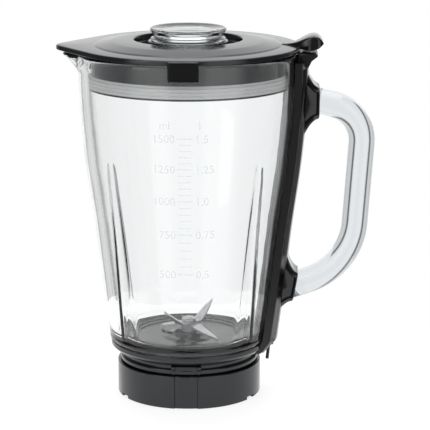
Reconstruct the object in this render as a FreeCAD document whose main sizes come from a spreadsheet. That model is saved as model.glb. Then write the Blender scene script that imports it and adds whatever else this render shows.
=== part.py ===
import FreeCAD, Part
import math
import os
import Sketcher

# A blender's glass jug, in millimetres. +Z is up, the blades' axis is the Z axis and z = 0 is the
# surface that the jug stands on. The handle is on the +X side and the pouring spout on the -X side.

os.makedirs("parts", exist_ok=True)
doc = FreeCAD.newDocument("blender_jug")
sheet = doc.addObject("Spreadsheet::Sheet", "dims")

DIMENSIONS = [
    # locking collar, the ring that the jug stands on
    ("collar_radius", 48.2), ("collar_height", 22.2), ("collar_wall", 2.4), ("collar_edge", 0.8),
    ("clamp_flange_low", 4.2), ("clamp_flange_high", 6.6), ("clamp_flange_bore", 34),
    ("notch_width", 8.5), ("notch_depth", 2.2), ("notch_angle", 29),
    # ramped lugs that hold the collar on the neck
    ("lug_reach", 1.9), ("lug_thick", 3), ("lug_gap", 0.25), ("neck_lug_top", 15.5),
    ("neck_lug_span", 40), ("collar_lug_span", 34), ("collar_turn", 45), ("collar_drop", 2),
    # base ring with the neck
    ("neck_radius", 43.6), ("neck_bore", 39.6), ("neck_low", 10), ("neck_flange_radius", 46.4),
    ("neck_flange_low", 23.2), ("neck_flange_high", 26), ("ring_floor_low", 30.4),
    ("ring_radius", 52.6), ("ring_top", 36.8), ("stop_width", 17), ("stop_reach", 2.6),
    ("stop_height", 5.2), ("neck_step", 0.8),
    # glass jar
    ("glass_bottom", 34), ("jar_floor", 39), ("jar_bore", 40.4), ("gasket_thick", 0.7),
    ("foot_radius", 50.1), ("heel_height", 38), ("heel_radius", 53.1), ("low_height", 68),
    ("low_radius", 57), ("mid_height", 113), ("mid_radius", 62.1), ("high_height", 160),
    ("high_radius", 68.5), ("shoulder_height", 200), ("shoulder_radius", 71.9), ("rim_height", 232),
    ("rim_radius", 72.6), ("glass_wall", 5.7), ("heel_inside", 46),
    ("spout_tip", 85.6), ("spout_radius", 13.5), ("spout_root", 212), ("spout_wall", 3.6),
    ("spout_root_radius", 6), ("spout_root_depth", 8),
    # pressed ribs and moulded scale
    ("rib_low", 44), ("rib_low_half", 7.4), ("rib_low_depth", 2.8), ("rib_high", 164),
    ("rib_high_half", 1.5), ("rib_high_depth", 0.8), ("mark_width", 13), ("mark_thick", 0.8),
    ("mark_proud", 0.4), ("minor_mark_width", 6),
    # handle rail, its cover and the interlock rod inside it
    ("rail_width", 40), ("rail_low", 30), ("rail_top", 231.2), ("rail_gap", 0.3), ("rail_channel", 5.2),
    ("cover_thick", 1.6), ("rail_foot_thin", 1), ("head_reach", 86), ("head_width", 24),
    ("head_low", 222), ("head_high", 227.5),
    ("rod_radius", 1.1), ("rod_foot_x", 56.6), ("rod_foot_height", 34.4), ("rod_lean", 6.14),
    ("rod_length", 198.4), ("button_radius", 2.6), ("button_height", 2.4), ("rod_slot", 3.4),
    ("pin_x", 54.1), ("pin_low", 21.3), ("foot_bar_low", 31.4), ("foot_bar_width", 2.4),
    ("spring_radius", 2.2), ("spring_start", 36), ("spring_length", 14), ("rod_stroke", 5),
    # handle and its sockets
    ("grip_depth", 17.4), ("grip_width", 20), ("socket_width", 25), ("socket_depth", 13),
    ("socket_spread", 4.4), ("socket_chamfer", 2.5), ("flare_power", 1.9),
    ("upper_insert", 3), ("lower_insert", 2.5), ("pocket_gap", 0.1),
    ("upper_socket_x", 86.6), ("upper_socket_z", 198.8), ("upper_socket_height", 20.6),
    ("upper_flare_up", 20), ("upper_flare_down", 19), ("upper_tilt", 0.6), ("upper_droop", 12.5),
    ("lower_socket_x", 71.8), ("lower_socket_z", 73.8), ("lower_socket_height", 20),
    ("lower_flare_up", 17.5), ("lower_flare_down", 18), ("lower_tilt", 10.4), ("lower_rise", 19),
    ("grip_top_x", 116.3), ("grip_low_x", 108.8),
    ("grip_top_bend", 25), ("grip_low_bend", 45),
    # blade unit
    ("carrier_radius", 39.2), ("carrier_wall", 2), ("carrier_top", 38.9), ("carrier_plate", 2.9),
    ("carrier_flange_radius", 43), ("carrier_flange_low", 6.9), ("carrier_flange_high", 9),
    ("boss_radius", 10), ("boss_top", 41), ("boss_low", 20), ("bush_radius", 6.5),
    ("shaft_radius", 4), ("shaft_fit", 0.05), ("upper_bush_low", 29), ("upper_bush_high", 37.4),
    ("lower_bush_high", 27), ("seal_high", 40.4), ("shaft_low", 12.6), ("shaft_seat", 45.2),
    ("tip_radius", 3), ("shaft_top", 50.6), ("washer_thick", 0.8), ("washer_radius", 8),
    ("circlip_radius", 6.4), ("circlip_thick", 1), ("groove_radius", 3.2), ("circlip_slack", 0.15),
    ("coupling_radius", 13), ("coupling_low", 5.2), ("coupling_high", 17.2), ("coupling_web", 12.4),
    ("dog_inner", 7.6), ("dog_outer", 10.4), ("dog_width", 3.4),
    ("blade_thick", 1.4), ("blade_width", 9), ("hub_length", 16), ("upper_reach", 19.6),
    ("upper_angle", 45), ("upper_bend", 36), ("lower_reach", 20.5), ("lower_bend", 17),
    ("spacer_radius", 5.6), ("nut_radius", 5), ("nut_high", 51.2),
    # lid
    ("lid_radius", 73.8), ("lid_low", 232.3), ("lid_edge", 235.6), ("crease_radius", 61.2),
    ("crease_height", 236.4), ("recess_radius", 35.6), ("recess_edge", 239.6), ("recess_floor", 235.2),
    ("neck_top", 238.6), ("filler_outer", 26.4), ("filler_bore", 24), ("filler_low", 222),
    ("lid_sheet", 2.4), ("skirt_inner", 61.6), ("skirt_outer", 64.2), ("skirt_low", 211.5),
    ("beak_tip", 87.4), ("beak_radius", 3.5), ("beak_touch_x", 60.5), ("beak_touch_y", 42),
    ("tab_width", 19.6), ("tab_low", 222.4), ("tab_inner", 73.4), ("tab_outer", 77),
    ("thumb_start", 60), ("thumb_peak", 85.5), ("thumb_end", 90), ("thumb_width", 22),
    ("thumb_height", 242.6), ("seal_low", 209), ("seal_top", 217.5), ("seal_reach", 66.05),
    # measuring cap
    ("cap_top", 247), ("cap_radius", 25.2), ("cap_dish", 244.4), ("cap_waist_height", 240.6),
    ("cap_stem", 22.2), ("cap_low", 217), ("cap_wall", 2), ("cap_shoulder", 24.6),
    ("cap_seal_low", 228), ("cap_seal_high", 232), ("cap_seal_radius", 23.95),
    # screws that hold the sockets on the rail, their heads sunk in its inner face
    ("screw_radius", 1), ("head_radius", 1.9), ("head_thick", 1.5), ("screw_length", 10),
    ("screw_side", 8), ("upper_screw_x", 71.9), ("upper_screw_z", 195),
    ("lower_screw_x", 58.3), ("lower_screw_z", 76),
]
for line, (alias, value) in enumerate(DIMENSIONS, 1):
    sheet.set(f"A{line}", alias)
    sheet.set(f"B{line}", str(value))
    sheet.setAlias(f"B{line}", alias)
doc.recompute()

D = dict(DIMENSIONS)
LUG_COUNT = 4
DOG_COUNT = 6
UP = FreeCAD.Vector(0, 0, 1)
ACROSS = FreeCAD.Vector(0, 1, 0)
OUTWARD = FreeCAD.Vector(1, 0, 0)


def bind(item, **formulas):
    """Bind each property of a document object to a formula on the sheet's cells."""
    for prop, formula in formulas.items():
        item.setExpression(prop.replace("__", "."), cells(formula))
    return item


def cells(formula):
    """A formula in plain cell names, with the sheet's name put before each one."""
    words = formula.replace("(", "( ").replace(")", " )").split()
    return " ".join(f"dims.{word}" if word in D else word for word in words)


def origin_plane(body, role):
    return next(item for item in body.Origin.OriginFeatures if item.Role == role)


def outline_sketch(body, name, outline, role):
    """A closed outline in one of the body's planes, each corner set by two formulas."""
    sketch = body.newObject("Sketcher::SketchObject", name)
    sketch.AttachmentSupport = [(origin_plane(body, role), "")]
    sketch.MapMode = "FlatFace"
    count = len(outline)
    start = [FreeCAD.Vector(10 + 3 * math.cos(math.tau * i / count),
                            10 + 3 * math.sin(math.tau * i / count), 0) for i in range(count)]
    for i in range(count):
        sketch.addGeometry(Part.LineSegment(start[i], start[(i + 1) % count]), False)
    for i in range(count):
        sketch.addConstraint(Sketcher.Constraint("Coincident", i, 2, (i + 1) % count, 1))
    for i, (across, up) in enumerate(outline):
        if across == "0":
            sketch.addConstraint(Sketcher.Constraint("PointOnObject", i, 1, -2))
        else:
            place = sketch.addConstraint(Sketcher.Constraint("DistanceX", -1, 1, i, 1, start[i].x))
            sketch.setExpression(f"Constraints[{place}]", cells(across))
        place = sketch.addConstraint(Sketcher.Constraint("DistanceY", -1, 1, i, 1, start[i].y))
        sketch.setExpression(f"Constraints[{place}]", cells(up))
    return sketch


def turned(label, outline):
    """A solid of revolution about Z from (radius, height) corners."""
    body = doc.addObject("PartDesign::Body", label)
    sketch = outline_sketch(body, label + "_outline", outline, "XZ_Plane")
    turn = body.newObject("PartDesign::Revolution", label + "_turn")
    turn.Profile = sketch
    turn.ReferenceAxis = (sketch, ["V_Axis"])
    turn.Angle = 360
    body.Tip = turn
    return body


def plate(label, outline, thick, role="XY_Plane", centred=False):
    """A flat plate from its outline, standing up from the plane or centred on it."""
    body = doc.addObject("PartDesign::Body", label)
    sketch = outline_sketch(body, label + "_outline", outline, role)
    pad = body.newObject("PartDesign::Pad", label + "_pad")
    pad.Profile = sketch
    pad.Midplane = centred
    bind(pad, Length=thick)
    body.Tip = pad
    return body


def ring(label, inner, outer, low, high):
    return turned(label, [(inner, low), (outer, low), (outer, high), (inner, high)])


def cylinder(label, radius, height, low="0"):
    item = doc.addObject("Part::Cylinder", label)
    return bind(item, Radius=radius, Height=height, Placement__Base__z=low)


def box(label, length, width, height, left, front, low):
    item = doc.addObject("Part::Box", label)
    return bind(item, Length=length, Width=width, Height=height,
                Placement__Base__x=left, Placement__Base__y=front, Placement__Base__z=low)


def fused(label, shapes):
    item = doc.addObject("Part::MultiFuse", label)
    item.Shapes = shapes
    item.Refine = True
    return item


def cut(label, base, tool):
    item = doc.addObject("Part::Cut", label)
    item.Base = base
    item.Tool = tool
    return item


def common(label, first, second):
    item = doc.addObject("Part::MultiCommon", label)
    item.Shapes = [first, second]
    return item


def turned_copies(label, item, angles):
    """Copies of an object turned about Z; a group holds it, so that its own place is kept."""
    group = doc.addObject("Part::Compound", label + "_group")
    group.Links = [item]
    copies = []
    for number, angle in enumerate(angles):
        copy = doc.addObject("App::Link", f"{label}_{number}")
        copy.LinkedObject = group
        copy.LinkPlacement = FreeCAD.Placement(FreeCAD.Vector(), FreeCAD.Rotation(UP, angle))
        copies.append(copy)
    return copies


def solid(label, shape):
    """A piece whose shape is worked out with Part's own functions."""
    item = doc.addObject("Part::Feature", label)
    item.Shape = shape
    return item


def ramp_lugs(label, inner, outer, span, middle_low):
    """Four lugs round a ring, each climbing as the collar's travel does, cut from a tilted slab."""
    rise = D["collar_drop"] / math.radians(D["collar_turn"])
    tilt = math.degrees(math.atan(rise / outer))
    lugs = []
    for number in range(LUG_COUNT):
        middle = 45 + 360 / LUG_COUNT * number
        sector = Part.makeCylinder(outer, 3 * D["lug_thick"],
                                   FreeCAD.Vector(0, 0, middle_low - D["lug_thick"]), UP, span)
        bore = Part.makeCylinder(inner, 5 * D["lug_thick"],
                                 FreeCAD.Vector(0, 0, middle_low - 2 * D["lug_thick"]))
        sector = sector.cut(bore)
        sector.rotate(FreeCAD.Vector(), UP, -span / 2)
        slab = Part.makeBox(2 * outer, 2 * outer, D["lug_thick"], FreeCAD.Vector(0, -outer, 0))
        slab.rotate(FreeCAD.Vector(), OUTWARD, tilt)
        slab.translate(FreeCAD.Vector(0, 0, middle_low))
        lug = sector.common(slab)
        lug.rotate(FreeCAD.Vector(), UP, middle)
        lugs.append(lug)
    return solid(label, Part.makeCompound(lugs))


# ---------------------------------------------------------------- collar and base ring

def locking_collar():
    shell = turned("collar_shell", [
        ("collar_radius - collar_edge", "0"), ("collar_radius", "collar_edge"),
        ("collar_radius", "collar_height"), ("collar_radius - collar_wall", "collar_height"),
        ("collar_radius - collar_wall", "clamp_flange_high"), ("clamp_flange_bore", "clamp_flange_high"),
        ("clamp_flange_bore", "clamp_flange_low"), ("collar_radius - collar_wall", "clamp_flange_low"),
        ("collar_radius - collar_wall", "0")])
    inside = D["collar_radius"] - D["collar_wall"]
    lugs = ramp_lugs("collar_lugs", inside - D["lug_reach"], inside + 0.5 * D["collar_wall"],
                     D["collar_lug_span"], D["neck_lug_top"] + D["lug_gap"])
    whole = fused("collar_whole", [shell, lugs])
    bar = box("notch_bar", "collar_wall * 3", "notch_width", "notch_depth * 2",
              "collar_radius - collar_wall * 2", "- notch_width / 2", "- notch_depth")
    angles = (D["notch_angle"], 180 - D["notch_angle"], 180 + D["notch_angle"], -D["notch_angle"])
    return cut("locking_collar", whole, fused("notches", turned_copies("notch", bar, angles)))


def jar_base_ring():
    shell = turned("ring_shell", [
        ("neck_bore", "neck_low"), ("neck_radius", "neck_low"), ("neck_radius", "neck_flange_low"),
        ("neck_flange_radius", "neck_flange_low"), ("neck_flange_radius", "neck_flange_high"),
        ("neck_radius + neck_step", "neck_flange_high + neck_step"),
        ("neck_radius + neck_step", "ring_floor_low - 1.4"),
        ("ring_radius - 1.6", "ring_floor_low + 1.6"), ("ring_radius", "ring_floor_low + 3.4"),
        ("ring_radius", "ring_top"), ("heel_radius + 0.3 - 1.0", "ring_top"),
        ("foot_radius + 0.5", "glass_bottom - gasket_thick"), ("neck_bore", "glass_bottom - gasket_thick")])
    lugs = ramp_lugs("neck_lugs", D["neck_radius"] - 1, D["neck_radius"] + D["lug_reach"],
                     D["neck_lug_span"], D["neck_lug_top"] - D["lug_thick"])
    stop = box("front_stop", "stop_width", "stop_reach + 3", "stop_height",
               "- stop_width / 2", "- neck_radius - stop_reach", "neck_flange_low")
    return fused("jar_base_ring", [shell, lugs, stop])


def jar_gasket():
    return ring("jar_gasket", "jar_bore + 0.4", "foot_radius - 0.6",
                "glass_bottom - gasket_thick", "glass_bottom")


# ---------------------------------------------------------------- glass jar

OUTSIDE = [("heel_radius", "heel_height"), ("low_radius", "low_height"), ("mid_radius", "mid_height"),
           ("high_radius", "high_height"), ("shoulder_radius", "shoulder_height"),
           ("rim_radius", "rim_height")]
RIB_ANGLES = (45, 135, 225, 315)
MARK_HEIGHTS = [94.8, 121.8, 144.4, 165.7, 185.6]
MARK_STEPS = 5
HANDLE_PITCH = {"upper": D["upper_droop"], "lower": -D["lower_rise"]}
FLARE_SHARES = (0, 0.3, 0.5, 0.7, 0.85, 1)


def glass_jar():
    outside = turned("jar_outside", [("0", "glass_bottom"), ("foot_radius", "glass_bottom")]
                     + OUTSIDE + [("0", "rim_height")])
    walls = [(f"{radius} - glass_wall", height) for radius, height in OUTSIDE[1:-1]]
    inside = turned("jar_inside", [("0", "jar_floor"), ("heel_inside", "jar_floor"),
                                   ("heel_inside + 3", "jar_floor + 4")] + walls
                    + [("rim_radius - glass_wall + 0.1", "rim_height"),
                       ("rim_radius - glass_wall + 0.1", "rim_height + 1"), ("0", "rim_height + 1")])
    hole = cylinder("jar_hole", "jar_bore", "jar_floor")
    spout_outside = spout("spout_outside", 0, 0)
    spout_inside = spout("spout_inside", D["spout_wall"], 1)
    whole = fused("jar_solid", [outside, spout_outside, volume_marks()])
    ribs = turned_copies("rib", pressed_rib(), RIB_ANGLES)
    return cut("glass_jar", whole, fused("jar_space", [inside, spout_inside, hole] + ribs))


def outside_radius(height):
    """The jar's outer radius at a height, along its straight-sided outline."""
    corners = [(D[high], D[radius]) for radius, high in OUTSIDE]
    for (low, low_radius), (high, high_radius) in zip(corners, corners[1:]):
        if low <= height <= high:
            return low_radius + (high_radius - low_radius) * (height - low) / (high - low)
    raise ValueError("height is off the jar's side")


def pressed_rib():
    """One rib: a groove outside the wall, wide and deep at the foot and a point at the top."""
    wires = []
    for height in (D["rib_low"], D["low_height"], D["mid_height"], D["high_height"], D["rib_high"]):
        share = (height - D["rib_low"]) / (D["rib_high"] - D["rib_low"])
        half = D["rib_low_half"] + (D["rib_high_half"] - D["rib_low_half"]) * share
        depth = D["rib_low_depth"] + (D["rib_high_depth"] - D["rib_low_depth"]) * share
        radius = outside_radius(height)
        edge = math.sqrt(radius * radius - half * half)
        clear = radius + 2 * depth
        flat = half / 2
        corners = [(edge, -half), (radius - depth, -flat), (radius - depth, flat), (edge, half),
                   (clear, half), (clear, -half)]
        points = [FreeCAD.Vector(x, y, height) for x, y in corners]
        wires.append(Part.makePolygon(points + points[:1]))
    return solid("rib_groove", Part.makeLoft(wires, True, True))


def volume_marks():
    """The scale moulded on the front wall: a long bar at each quarter litre and four between."""
    bars = []
    for low, high in zip(MARK_HEIGHTS, MARK_HEIGHTS[1:] + [None]):
        bars.append(mark_bar(low, D["mark_width"]))
        for step in range(1, MARK_STEPS):
            if high:
                bars.append(mark_bar(low + (high - low) * step / MARK_STEPS, D["minor_mark_width"]))
    return solid("volume_marks", Part.makeCompound(bars))


def mark_bar(height, width):
    reach = outside_radius(height) + D["mark_proud"]
    depth = D["glass_wall"] / 2
    return Part.makeBox(width, depth, D["mark_thick"],
                        FreeCAD.Vector(-width / 2, -reach, height - D["mark_thick"] / 2))


def spout(label, wall, over):
    """The pouring spout: a cone that leans out from the wall to the rim's tip."""
    top = D["rim_height"] + over
    tip_centre = -(D["spout_tip"] - D["spout_radius"])
    root_centre = -(D["shoulder_radius"] - D["spout_root_depth"])
    lean = (tip_centre - root_centre) / (D["rim_height"] - D["spout_root"])
    rim = Part.Wire(Part.makeCircle(D["spout_radius"] - wall,
                                    FreeCAD.Vector(tip_centre + lean * over, 0, top)))
    root = Part.Wire(Part.makeCircle(D["spout_root_radius"] - wall / 2,
                                     FreeCAD.Vector(root_centre, 0, D["spout_root"] + wall)))
    return solid(label, Part.makeLoft([root, rim], True))


# ---------------------------------------------------------------- rail, rod and handle

def rail_layer(label, inner_gap, outer_gap, low, high, foot_inset="0"):
    """A band of even thickness that follows the jar's side, cut to the rail's width."""
    outer = [(f"{radius} + {outer_gap}", height) for radius, height in OUTSIDE[:-1]]
    inner = [(f"{radius} + {inner_gap}", height) for radius, height in OUTSIDE[:-1]]
    slope = "( rim_radius - shoulder_radius ) / ( rim_height - shoulder_height )"
    top = f"shoulder_radius + {slope} * ( {high} - shoulder_height )"
    outline = [(f"heel_radius + {outer_gap} - rail_foot_thin", low)] + outer \
        + [(f"{top} + {outer_gap}", high), (f"{top} + {inner_gap}", high)] \
        + inner[::-1] + [(f"heel_radius + {inner_gap} - {foot_inset}", low)]
    band = turned(label + "_band", outline)
    width = box(label + "_width", "rim_radius * 2", "rail_width", "rim_height * 2",
                "0", "- rail_width / 2", "0")
    return common(label, band, width)


def lean_rod(label, radius, start, length):
    """A round bar on the interlock rod's own line, from a distance along that line."""
    item = doc.addObject("Part::Cylinder", label)
    lean = FreeCAD.Rotation(ACROSS, D["rod_lean"])
    base = FreeCAD.Vector(D["rod_foot_x"], 0, D["rod_foot_height"]) + lean.multVec(UP * start)
    item.Placement = FreeCAD.Placement(base, lean)
    return bind(item, Radius=radius, Height=length)


def rod_slot(label, width, depth, start, length):
    """A slot on the rod's line, open towards the glass."""
    item = doc.addObject("Part::Box", label)
    lean = FreeCAD.Rotation(ACROSS, D["rod_lean"])
    corner = lean.multVec(FreeCAD.Vector(-12, -width / 2, start))
    base = FreeCAD.Vector(D["rod_foot_x"], 0, D["rod_foot_height"]) + corner
    item.Placement = FreeCAD.Placement(base, lean)
    item.Width = width
    return bind(item, Length=f"12 + {depth}", Height=length)


def handle_rail():
    channel = rail_layer("rail_channel_layer", "rail_gap", "rail_gap + rail_channel",
                         "rail_low", "rail_top")
    head = plate("rail_head", [
        ("rim_radius + 2", "head_low"), ("rim_radius + 6.8", "head_low"), ("head_reach - 1.5", "head_high"),
        ("head_reach", "head_high + 2"), ("head_reach", "rail_top"), ("rim_radius + 2", "rail_top")],
        "head_width", "XZ_Plane", True)
    whole = fused("rail_whole", [channel, head])
    room = fused("rail_room", [
        rod_slot("rod_slot", D["rod_slot"], "1.9", -22, "rod_length + 30"),
        rod_slot("spring_slot", 2 * D["spring_radius"] + 0.8, "2.6", D["spring_start"] - 2,
                 "spring_length + rod_stroke + 4"),
        lean_rod("button_room", "button_radius + 0.4", D["rod_length"] - 6, "20")])
    drilled = cut("rail_drilled", whole, room)
    holes = solid("rail_screw_holes", Part.makeCompound(screw_bars("screw_radius", -1, "screw_length")))
    heads = solid("rail_head_holes", Part.makeCompound(screw_bars("head_radius", -3, "head_thick")))
    return cut("handle_rail", cut("rail_with_holes", drilled, holes), heads)


def rail_cover():
    cover = rail_layer("cover_layer", "rail_gap + rail_channel", "rail_gap + rail_channel + cover_thick",
                       "rail_low", "head_low - 0.2", "rail_foot_thin")
    holes = solid("cover_screw_holes", Part.makeCompound(screw_bars("screw_radius", -1, "screw_length")))
    groove = lean_rod("cover_groove", "rod_radius + 0.4", -2, "rod_length")
    return cut("rail_cover", cut("cover_drilled", cover, holes), groove)


def screw_bars(radius, start, end):
    """Round bars along X, one for each screw, from a distance behind the head's back face."""
    bars = []
    for back, height in (("upper_screw_x", "upper_screw_z"), ("lower_screw_x", "lower_screw_z")):
        for side in (-1, 1):
            place = FreeCAD.Vector(D[back] + start, side * D["screw_side"], D[height])
            bars.append(Part.makeCylinder(D[radius], D[end] - start, place, OUTWARD))
    return bars


def rail_screws():
    shanks = screw_bars("screw_radius", 0, "screw_length")
    heads = screw_bars("head_radius", 0, "head_thick")
    return solid("rail_screws", Part.makeCompound([a.fuse(b) for a, b in zip(shanks, heads)]))


def interlock_rod():
    rod = lean_rod("rod_bar", "rod_radius", 0, "rod_length")
    button = lean_rod("rod_button", "button_radius", D["rod_length"] - D["button_height"], "button_height")
    stop = lean_rod("rod_collar", "spring_radius", D["spring_start"] + D["spring_length"], "1.2")
    foot = box("rod_foot", "rod_foot_x - pin_x + rod_radius * 1.4", "foot_bar_width",
               "rod_foot_height - foot_bar_low + 0.4",
               "pin_x - rod_radius + 0.1", "- foot_bar_width / 2", "foot_bar_low")
    pin = lean_rod("rod_pin", "rod_radius", 0, "foot_bar_low - pin_low + 2")
    drift = (D["foot_bar_low"] - D["pin_low"]) * math.tan(math.radians(D["rod_lean"]))
    pin.Placement.Base = FreeCAD.Vector(D["pin_x"] - drift, 0, D["pin_low"])
    return fused("interlock_rod", [rod, button, stop, foot, pin])


def interlock_spring():
    outer = lean_rod("spring_outside", "spring_radius", D["spring_start"], "spring_length")
    inner = lean_rod("spring_inside", "rod_radius + 0.2", D["spring_start"] - 1, "spring_length + 2")
    return cut("interlock_spring", outer, inner)


def socket(side):
    """A block that flares from the handle's end to the rail, with a pocket for the handle."""
    face = FreeCAD.Vector(D[side + "_socket_x"], 0, D[side + "_socket_z"])
    lean = FreeCAD.Rotation(ACROSS, D[side + "_tilt"])
    half, chamfer = D[side + "_socket_height"] / 2, D["socket_chamfer"]

    def frame_wire(share):
        grown = share ** D["flare_power"]
        top, low = half + D[side + "_flare_up"] * grown, -half - D[side + "_flare_down"] * grown
        wide = (D["socket_width"] + D["socket_spread"] * grown) / 2
        corners = [(-wide, low + chamfer), (-wide + chamfer, low), (wide - chamfer, low),
                   (wide, low + chamfer), (wide, top - chamfer), (wide - chamfer, top),
                   (-wide + chamfer, top), (-wide, top - chamfer)]
        points = [face + lean.multVec(FreeCAD.Vector(-share * D["socket_depth"], y, z)) for y, z in corners]
        return Part.makePolygon(points + points[:1])

    block = Part.makeLoft([frame_wire(share) for share in FLARE_SHARES], True, True)
    gap, insert = D["pocket_gap"], D[side + "_insert"]
    reach = insert + D["grip_depth"]
    pocket = Part.makeCylinder(1, 2 * reach, FreeCAD.Vector(-reach, 0, 0), OUTWARD)
    scale = FreeCAD.Matrix()
    scale.scale(FreeCAD.Vector(1, D["grip_width"] / 2 + gap, D["grip_depth"] / 2 + gap))
    pocket = pocket.transformGeometry(scale)
    pocket.Placement = FreeCAD.Placement(face, FreeCAD.Rotation(ACROSS, HANDLE_PITCH[side]))
    pocket = pocket.cut(behind_face(side, insert + gap))
    holes = Part.makeCompound(screw_bars("screw_radius", 0, "screw_length"))
    blank = solid(side + "_blank", block.cut(pocket).cut(holes))
    outer = [(f"{radius} + rail_gap + rail_channel + cover_thick", height) for radius, height in OUTSIDE]
    form = turned(side + "_form", [("0", "rail_low"), ("heel_radius + 4", "rail_low")] + outer
                  + [("0", "rim_height")])
    return cut(side + "_socket", blank, form)


def behind_face(side, depth):
    """All the room on the jar's side of a plane that is parallel to a socket's face."""
    size = D["rim_radius"]
    room = Part.makeBox(size, size, size, FreeCAD.Vector(-size - depth, -size / 2, -size / 2))
    room.Placement = FreeCAD.Placement(FreeCAD.Vector(D[side + "_socket_x"], 0, D[side + "_socket_z"]),
                                       FreeCAD.Rotation(ACROSS, D[side + "_tilt"]))
    return room


def glass_handle():
    """An oval glass bar: straight into both sockets, with two bends round the finger gap."""
    top = FreeCAD.Vector(D["upper_socket_x"], 0, D["upper_socket_z"])
    low = FreeCAD.Vector(D["lower_socket_x"], 0, D["lower_socket_z"])
    top_way = FreeCAD.Rotation(ACROSS, HANDLE_PITCH["upper"]).multVec(OUTWARD)
    low_way = FreeCAD.Rotation(ACROSS, HANDLE_PITCH["lower"]).multVec(OUTWARD)
    top_in, low_in = top - top_way * D["grip_depth"], low - low_way * D["grip_depth"]
    corner_top = top + top_way * ((D["grip_top_x"] - top.x) / top_way.x)
    corner_low = low + low_way * ((D["grip_low_x"] - low.x) / low_way.x)
    first, first_end, bend_top = bend(top_in, corner_top, corner_low, D["grip_top_bend"])
    second, second_end, bend_low = bend(corner_top, corner_low, low_in, D["grip_low_bend"])
    path = Part.Wire([Part.LineSegment(top_in, first).toShape(), bend_top,
                      Part.LineSegment(first_end, second).toShape(), bend_low,
                      Part.LineSegment(second_end, low_in).toShape()])
    along = (corner_top - top_in).normalize()
    section = Part.Ellipse(FreeCAD.Vector(), D["grip_width"] / 2, D["grip_depth"] / 2)
    ring_wire = Part.Wire(section.toShape())
    facing = FreeCAD.Rotation(ACROSS, along.cross(ACROSS), along, "ZXY")
    ring_wire.Placement = FreeCAD.Placement(top_in, facing)
    bar = path.makePipeShell([ring_wire], True, False)
    for side in ("upper", "lower"):
        bar = bar.cut(behind_face(side, D[side + "_insert"]))
    return solid("glass_handle", bar)


def bend(before, corner, after, radius):
    """The arc that rounds a corner: where it starts, where it ends and its edge."""
    back = (before - corner).normalize()
    ahead = (after - corner).normalize()
    half = back.getAngle(ahead) / 2
    reach = radius / math.tan(half)
    start, end = corner + back * reach, corner + ahead * reach
    middle_way = (back + ahead).normalize()
    middle = corner + middle_way * (radius / math.sin(half) - radius)
    return start, end, Part.Arc(start, middle, end).toShape()


# ---------------------------------------------------------------- blade unit

def blade_carrier():
    return turned("blade_carrier", [
        ("carrier_radius - carrier_wall", "carrier_flange_low"),
        ("carrier_flange_radius", "carrier_flange_low"), ("carrier_flange_radius", "carrier_flange_high"),
        ("carrier_radius", "carrier_flange_high"), ("carrier_radius", "carrier_top"),
        ("boss_radius + 2", "carrier_top"), ("boss_radius", "boss_top"),
        ("bush_radius", "boss_top"), ("bush_radius", "seal_high"), ("bush_radius", "boss_low"),
        ("boss_radius", "boss_low"), ("boss_radius", "carrier_top - carrier_plate"),
        ("carrier_radius - carrier_wall", "carrier_top - carrier_plate")])


def carrier_seal():
    return ring("carrier_seal", "carrier_radius + 0.1", "carrier_flange_radius - 0.4",
                "carrier_flange_high", "neck_low - 0.1")


def bearings():
    bore = "shaft_radius + shaft_fit"
    return [ring("upper_bushing", bore, "bush_radius", "upper_bush_low", "upper_bush_high"),
            ring("lower_bushing", bore, "bush_radius", "boss_low", "lower_bush_high"),
            ring("shaft_seal", bore, "bush_radius", "upper_bush_high", "seal_high")]


def blade_shaft():
    washer_low = "boss_low - circlip_slack - washer_thick"
    return turned("blade_shaft", [
        ("0", "shaft_low"), ("shaft_radius", "shaft_low"),
        ("shaft_radius", f"{washer_low} - circlip_thick"),
        ("groove_radius", f"{washer_low} - circlip_thick"),
        ("groove_radius", washer_low), ("shaft_radius", washer_low),
        ("shaft_radius", "shaft_seat"), ("tip_radius", "shaft_seat"),
        ("tip_radius", "shaft_top"), ("0", "shaft_top")])


def shaft_rings():
    washer = ring("thrust_washer", "shaft_radius", "washer_radius",
                  "boss_low - circlip_slack - washer_thick", "boss_low - circlip_slack")
    clip = ring("circlip_ring", "groove_radius", "circlip_radius",
                "boss_low - circlip_slack - washer_thick - circlip_thick",
                "boss_low - circlip_slack - washer_thick")
    gap = box("circlip_gap", "circlip_radius", "2.6", "circlip_thick * 3", "0", "- 1.3",
              "boss_low - circlip_slack - washer_thick - circlip_thick * 2")
    spacer = ring("blade_spacer", "shaft_radius", "spacer_radius", "boss_top + 0.4", "shaft_seat")
    return [washer, cut("circlip", clip, gap), spacer]


def drive_coupling():
    """A cup with inner teeth that the motor's dog drives, pressed on the shaft's foot."""
    cup = turned("coupling_cup", [
        ("dog_outer", "coupling_low"), ("coupling_radius", "coupling_low"),
        ("coupling_radius", "coupling_high - 2"), ("coupling_radius - 2", "coupling_high"),
        ("shaft_radius", "coupling_high"), ("shaft_radius", "coupling_web"), ("dog_outer", "coupling_web")])
    tooth = box("coupling_tooth", "dog_outer - dog_inner + 1", "dog_width",
                "coupling_web - coupling_low + 1", "dog_inner", "- dog_width / 2", "coupling_low")
    teeth = turned_copies("tooth", tooth, [360 / DOG_COUNT * number for number in range(DOG_COUNT)])
    foot = cylinder("shaft_foot", "shaft_radius", "coupling_high", "shaft_low")
    return cut("drive_coupling", fused("coupling_whole", [cup] + teeth), foot)


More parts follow.
